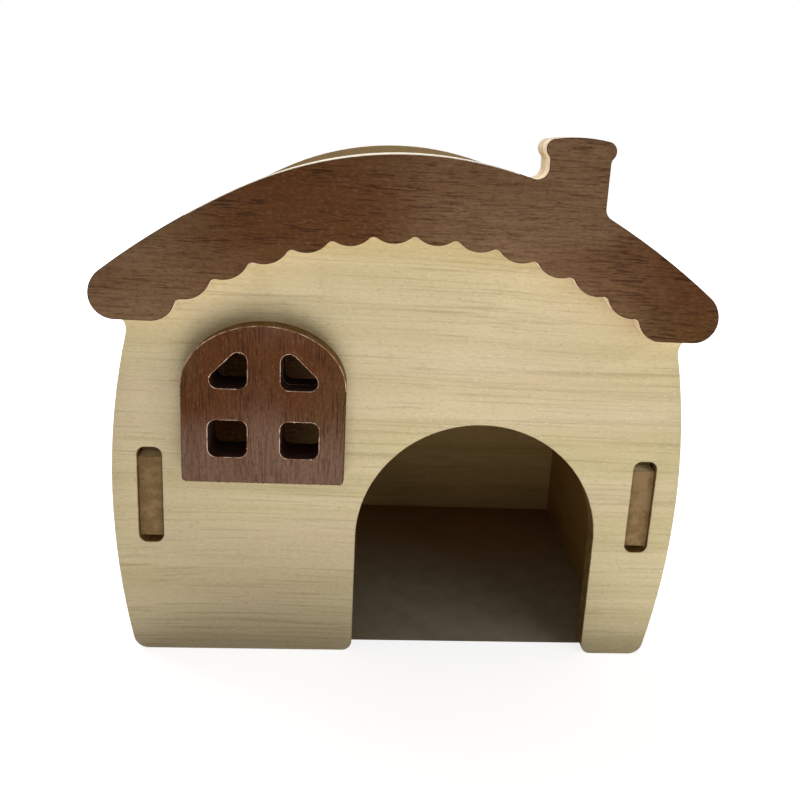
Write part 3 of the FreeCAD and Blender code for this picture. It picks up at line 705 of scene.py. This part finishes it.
def tableTop():
    material, tree = newMaterial("tableTop")
    mottle = grainNoise(tree, objectPlace(tree), **tableWood["grain"])
    colour = coat(tree, paint(*tableWood["tone"]), mottle, tableWood["fleckStep"],
                  tableWood["fleck"])
    # Painted shade: deeper brown towards the back
    colour = coat(tree, colour, placeAxes(tree)["Y"], tableWood["deepStep"], tableWood["deep"])
    finishSurface(tree, colour, tableWood["roughness"], mottle, tableWood)
    return material


def flatPiece(name, left, right, front, back, height, material):
    mesh = bpy.data.meshes.new(name)
    mesh.from_pydata([(left, front, height), (right, front, height), (right, back, height),
                      (left, back, height)], [], [(0, 1, 2, 3)])
    mesh.materials.append(material)
    piece = newObject(name, mesh)


half = stage["floorHalf"]
flatPiece("studio_floor", -half, half, -half, half, 0.0, whiteFloor())
flatPiece("table_top", leftInside, rightInside, frontInside - stage["tableReach"], backInside,
          stage["tableGap"], tableTop())
print("stage set")


# Light: a soft one from behind and above, one in front at the right, and three strips on the
# ground in front that shine up, as a pale table does
faceUp = (180.0, 0.0, 0.0)
lights = {
    "backLight": {"at": (-0.25, 0.45, 0.60), "aim": (0.0, 0.0, 0.08), "size": (0.9, 0.5),
                  "watts": 7.2},
    "sideLight": {"at": (0.16, -0.16, 0.08), "aim": (0.03, -0.047, 0.05), "size": (0.12, 0.12),
                  "watts": 0.082},
    "tableLeft": {"at": (-0.15, -0.0645, 0.002), "turn": faceUp, "size": (0.20, 0.015),
                  "watts": 0.0140},
    "tableMiddle": {"at": (-0.005, -0.297, 0.002), "turn": faceUp, "size": (0.09, 0.40),
                    "watts": 0.485},
    "tableRight": {"at": (0.145, -0.0645, 0.002), "turn": faceUp, "size": (0.21, 0.015),
                   "watts": 0.0264},
}
roomLight = 0.25


def inRadians(angles):
    return Euler([math.radians(angle) for angle in angles])


def areaLight(name, spec):
    data = bpy.data.lights.new(name, "AREA")
    data.shape = "RECTANGLE"
    data.size, data.size_y = spec["size"]
    data.energy = spec["watts"]
    lamp = newObject(name, data)
    lamp.location = spec["at"]
    if "aim" in spec:
        toHouse = Vector(spec["aim"]) - Vector(spec["at"])
        lamp.rotation_euler = toHouse.to_track_quat("-Z", "Y").to_euler()
    else:
        lamp.rotation_euler = inRadians(spec["turn"])
    lamp.visible_camera = False


for name, spec in lights.items():
    areaLight(name, spec)

world = bpy.data.worlds.new("paleRoom")
world.use_nodes = True
sky = world.node_tree
sky.nodes.clear()
strength = addNode(sky, "ShaderNodeMapRange", {
    "Value": seenShare(sky), "To Min": roomLight, "To Max": 1.0}).outputs[0]
room = addNode(sky, "ShaderNodeBackground", {"Color": white, "Strength": strength})
addNode(sky, "ShaderNodeOutputWorld", {"Surface": room.outputs[0]})
bpy.context.scene.world = world
bpy.context.scene.view_settings.view_transform = "Standard"

cameraSpec = {
    "at": (-0.009063, -0.226896, 0.115918), "turn": (74.4929, -3.2998, -3.9064),
    "lens": 40.68, "sensor": 36.0, "shift": (-0.04679, -0.02066), "nearest": 0.01,
}
cameraData = bpy.data.cameras.new("camera")
cameraData.lens, cameraData.sensor_width = cameraSpec["lens"], cameraSpec["sensor"]
cameraData.shift_x, cameraData.shift_y = cameraSpec["shift"]
cameraData.clip_start = cameraSpec["nearest"]
camera = newObject("camera", cameraData)
camera.location = cameraSpec["at"]
camera.rotation_euler = inRadians(cameraSpec["turn"])
bpy.context.scene.camera = camera
print("camera and lights set")
